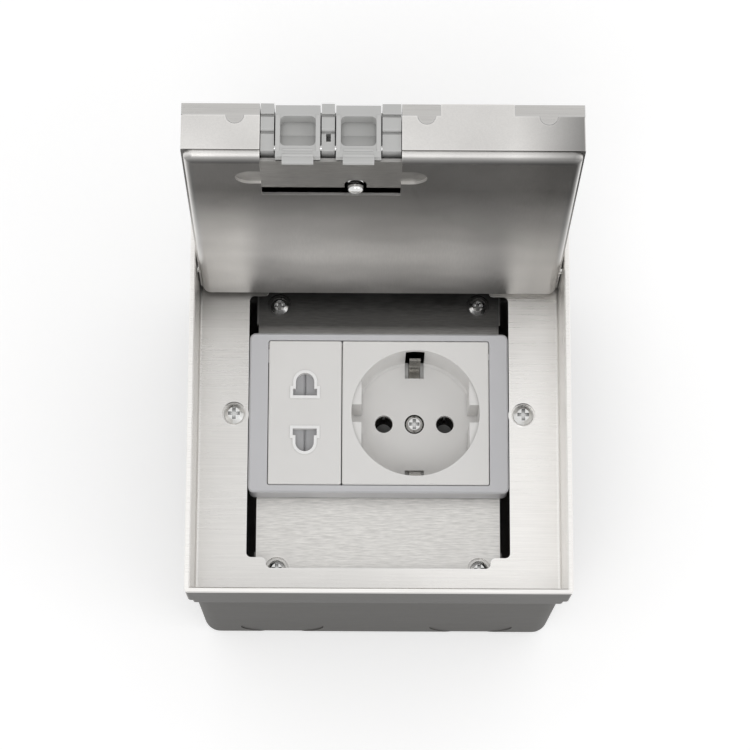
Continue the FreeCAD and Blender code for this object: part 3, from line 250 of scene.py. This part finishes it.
def lies(axis, start, end):
    """The same on where a point lies, in mm."""
    return "Object", axis, start * MM, end * MM


FRONTWARD = looks("Y", -0.6, -0.95)
UPWARD = looks("Z", 0.6, 0.95)
ON_RING = lies("Z", 85, 80)
ON_LID = lies("Z", 140, 160)
IN_BOX = lies("Z", 120, 100)

BRUSHED = {
    # frame and lid cover, with painted shade on faces that look forward and on upward faces on the
    # lid
    "steel": dict(
        colour=(0.885, 0.868, 0.842), roughness=0.30,
        painted_shade=(
            (0.36, FRONTWARD),
            (0.60, UPWARD, ON_LID),
            # painted shade on the ring: its left half, its rear left corner and the strip under
            # the lid
            (0.80, lies("X", 45, -15), UPWARD, ON_RING),
            (0.55, lies("Y", 22, 38), lies("X", 0, -30), UPWARD, ON_RING),
            (0.60, lies("Y", 26, 40), UPWARD, ON_RING))),
    # the lid's inner pan: its darker colour, painted waves and painted shade stand in for the dark
    # of a room that it mirrors
    "lid_steel": dict(
        colour=(0.735, 0.720, 0.700), roughness=0.42, painted_waves=0.25, along="Z",
        painted_shade=(
            (0.34, FRONTWARD, lies("Z", 110, 160)),
            (0.62, FRONTWARD, lies("X", 22, 46)),
            (0.85, FRONTWARD, lies("X", -24, -46)),
            # a painted lift of light, low in the middle of the pan
            (1.05, FRONTWARD, lies("X", -40, -20), lies("X", 40, 20), lies("Z", 115, 95)),
            # painted shade on its rounded upper edge and the right end of its band
            (0.45, looks("Y", -0.2, -0.5), looks("Z", 0.1, 0.4)),
            (0.34, lies("X", 36, 56), UPWARD))),
    # carrier plate and the lid's backing plate
    "carrier_steel": dict(
        colour=(0.645, 0.632, 0.61), roughness=0.36, grain=2.2, spread=0.09, scratches=0.09,
        painted_shade=(
            # painted shade behind the faceplate and on the lid, and a painted shadow along the
            # faceplate's front edge
            (0.11, lies("Y", 20, 30), IN_BOX),
            (0.52, ON_LID),
            (0.25, lies("Y", -25.0, -23.6), lies("Y", 10, 0), IN_BOX))),
    # the back box: its dark colour is partly painted shade
    "box_steel": dict(colour=(0.215, 0.210, 0.203), roughness=0.42, grain=0.8, edge_tint=0.40),
}
PLATED = {
    "plated": dict(colour=(0.74, 0.74, 0.73), roughness=0.20),
    # painted shade: the earth strip deep in the socket is coloured dark
    "spring_strip": dict(colour=(0.30, 0.29, 0.27), roughness=0.22),
    # deep in the sockets, where the photograph is almost black
    # painted shade: the brass is coloured nearly black
    "brass": dict(colour=(0.03, 0.028, 0.024), roughness=0.55),
}
MOULDED = {
    "grey_plastic": dict(colour=(0.64, 0.64, 0.66)),
    "white_plastic": dict(colour=(0.86, 0.85, 0.835), roughness=0.32, texture=0.08,
                          bright_above=MODULE_TOP + 0.1),
    "shutter_plastic": dict(colour=(0.46, 0.46, 0.47)),
    "base_plastic": dict(colour=(0.62, 0.62, 0.61), roughness=0.5),
    "outlet_plastic": dict(colour=(0.56, 0.56, 0.55), roughness=0.45),
}
FINISHES = {}
for make, table in ((brushed_metal, BRUSHED), (plated_metal, PLATED), (moulded_plastic, MOULDED)):
    for slot, values in table.items():
        FINISHES[slot] = make(slot, **values)

for part in frame["record"]["subparts"]:
    node = frame["nodes"][part["node"]]
    node.data.materials.clear()
    node.data.materials.append(FINISHES[part["material_slot"]])


# ---------------------------------------------------------------- small details
def on_lid(x, back, down):
    """World point of a lid point: back from its free edge and down from its outer face, in mm."""
    y, z = LID_TAIL - LID_LENGTH + back, HINGE_DROP - down
    turn = math.radians(-OPEN_ANGLE)
    hinge_z = TOTAL_HEIGHT - HINGE_DROP
    return MM * Vector((x, HINGE_Y + y * math.cos(turn) - z * math.sin(turn),
                        hinge_z + y * math.sin(turn) + z * math.cos(turn)))


def circle(count):
    """The cosine and sine of each of a count of evenly spaced angles."""
    angles = (2 * math.pi * i / count for i in range(count))
    return [(math.cos(angle), math.sin(angle)) for angle in angles]


def swept(name, rings, body, slot, closed=False, smooth=True):
    """A skin over a row of rings of points, capped at its ends unless the row is closed."""
    mesh = bmesh.new()
    rows = [[mesh.verts.new(point) for point in ring] for ring in rings]
    count = len(rows[0])
    following = rows[1:] + rows[:1] if closed else rows[1:]
    for one, two in zip(rows, following):
        for i in range(count):
            mesh.faces.new((one[i], one[(i + 1) % count], two[(i + 1) % count], two[i]))
    if not closed:
        mesh.faces.new(rows[0][::-1])
        mesh.faces.new(rows[-1])
    bmesh.ops.recalc_face_normals(mesh, faces=mesh.faces)
    data = bpy.data.meshes.new(name)
    mesh.to_mesh(data)
    mesh.free()
    for face in data.polygons:
        face.use_smooth = smooth
    data.materials.append(FINISHES[slot])
    piece = bpy.data.objects.new(name, data)
    SCENE.collection.objects.link(piece)
    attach(piece, body)


def bar(name, x0, x1, section, body, slot, smooth=False):
    """A bar across the lid with a section of (back, down) points, slimmer at both ends."""
    middle = [sum(values) / len(section) for values in zip(*section)]
    taper, slim = 0.12, 0.75
    rings = []
    for x, share in ((x0, slim), (x0 + taper, 1.0), (x1 - taper, 1.0), (x1, slim)):
        rings.append([on_lid(x, middle[0] + (back - middle[0]) * share,
                             middle[1] + (down - middle[1]) * share) for back, down in section])
    swept(name, rings, body, slot, smooth=smooth)


def flap_details(side, centre):
    """Raised rims beside the scoop, the rolled lower edge and the line of the hook."""
    body = "flap_" + side
    rim_inner, rim_outer, half_roll, half_step = 4.85, 6.0, 4.1, 4.2
    rim = [(0.32, 3.2), (0.04, 3.4), (0.04, 13.6), (0.32, 13.9)]
    roll = [(0.32, 13.1), (0.10, 13.25), (0.04, 13.5), (0.10, 13.75), (0.32, 13.9)]
    step = [(0.32, 14.6), (0.12, 14.7), (0.06, 15.1), (0.12, 15.5), (0.32, 15.6)]
    bar(body + "_rim_left", centre - rim_outer, centre - rim_inner, rim, body, "outlet_plastic")
    bar(body + "_rim_right", centre + rim_inner, centre + rim_outer, rim, body, "outlet_plastic")
    for word, half, section in (("_roll", half_roll, roll), ("_step", half_step, step)):
        bar(body + word, centre - half, centre + half, section, body, "outlet_plastic", True)


def stud_end():
    """The rounded end of the stud on the lid's inner side; its profile is (radius, down)."""
    profile = [(2.15, 15.5), (2.15, 16.9), (2.1, 17.3), (1.9, 17.7), (1.5, 18.05), (0.9, 18.25),
               (0.3, 18.3)]
    rings = [[on_lid(STUD_X + radius * cos, STUD_BACK + radius * sin, down)
              for cos, sin in circle(32)] for radius, down in profile]
    swept("stud_end", rings, "lid", "plated")


def screw_seat_shade():
    """A dark ring round the centre screw of the earthed module: painted shade in the gap at its
    seat.
    """
    inner, outer, foot, top = 2.92, 3.02, RECESS_FLOOR - 0.6, RECESS_FLOOR + 0.02
    section = [(inner, foot), (outer, foot), (outer, top), (inner, top)]
    x, y = EARTHED_MODULE
    rings = [[MM * Vector((x + radius * cos, y + radius * sin, z)) for radius, z in section]
             for cos, sin in circle(48)]
    swept("screw_seat_shade", rings, "box", "brass", closed=True)


for side, centre in FLAP_CENTRES.items():
    flap_details(side, centre)
stud_end()
screw_seat_shade()


# ---------------------------------------------------------------- studio
def area_light(name, place, target, width, power):
    data = bpy.data.lights.new(name, "AREA")
    data.shape = "DISK"
    data.size = width
    data.energy = power
    lamp = bpy.data.objects.new(name, data)
    lamp.location = place
    lamp.rotation_euler = (Vector(target) - Vector(place)).to_track_quat("-Z", "Y").to_euler()
    SCENE.collection.objects.link(lamp)


def seen_directly(tree):
    """1 where a camera, glossy or transmission ray meets this surface."""
    path = tree.nodes.new("ShaderNodeLightPath")
    total = path.outputs["Is Camera Ray"]
    for name in ("Is Glossy Ray", "Is Transmission Ray"):
        either = tree.nodes.new("ShaderNodeMath")
        either.operation = "MAXIMUM"
        tree.links.new(total, either.inputs[0])
        tree.links.new(path.outputs[name], either.inputs[1])
        total = either.outputs[0]
    return total


def make_world(light):
    """A surround that looks white and lights the object at a given strength."""
    world = bpy.data.worlds.new("studio")
    SCENE.world = world
    world.use_nodes = True
    tree = world.node_tree
    back = tree.nodes["Background"]
    back.inputs["Color"].default_value = (1, 1, 1, 1)
    strength = tree.nodes.new("ShaderNodeMapRange")
    strength.inputs["To Min"].default_value = light
    strength.inputs["To Max"].default_value = 1.0
    tree.links.new(seen_directly(tree), strength.inputs["Value"])
    tree.links.new(strength.outputs["Result"], back.inputs["Strength"])


def make_floor(size, drop, glow):
    """A plain white floor that keeps a soft shadow; the glow lifts what is seen of it to white."""
    bpy.ops.mesh.primitive_plane_add(size=size, location=(0, 0, -drop))
    floor = bpy.context.object
    floor.name = "floor"
    material = bpy.data.materials.new("floor")
    material.use_nodes = True
    tree = material.node_tree
    shader = tree.nodes["Principled BSDF"]
    shader.inputs["Base Color"].default_value = (0.9, 0.9, 0.9, 1)
    shader.inputs["Roughness"].default_value = 0.9
    shader.inputs["Specular IOR Level"].default_value = 0.1
    shader.inputs["Emission Color"].default_value = (1, 1, 1, 1)
    strength = tree.nodes.new("ShaderNodeMath")
    strength.operation = "MULTIPLY"
    strength.inputs[1].default_value = glow
    tree.links.new(seen_directly(tree), strength.inputs[0])
    tree.links.new(strength.outputs[0], shader.inputs["Emission Strength"])
    floor.data.materials.append(material)


def make_camera(place, turn, lens):
    """The camera that was fitted to the photograph, turned by angles in degrees."""
    data = bpy.data.cameras.new("camera")
    data.lens = lens
    data.sensor_width = 36
    data.clip_start, data.clip_end = 0.01, 10
    camera = bpy.data.objects.new("camera", data)
    camera.location = place
    camera.rotation_euler = [math.radians(angle) for angle in turn]
    SCENE.collection.objects.link(camera)
    SCENE.camera = camera


SCENE.view_settings.view_transform = "Standard"
make_world(light=0.70)
area_light("key", place=(-0.15, -0.5, 1.2), target=(0, 0, 0.08), width=0.5, power=2.0)
area_light("fill", place=(0.6, -0.3, 0.7), target=(0, 0, 0.08), width=0.6, power=0.65)
make_floor(size=6, drop=0.4 * MM, glow=0.30)
make_camera(place=(-0.007386, -0.172203, 0.878604), turn=(12.884, -0.4873, 0.1973), lens=129.755)
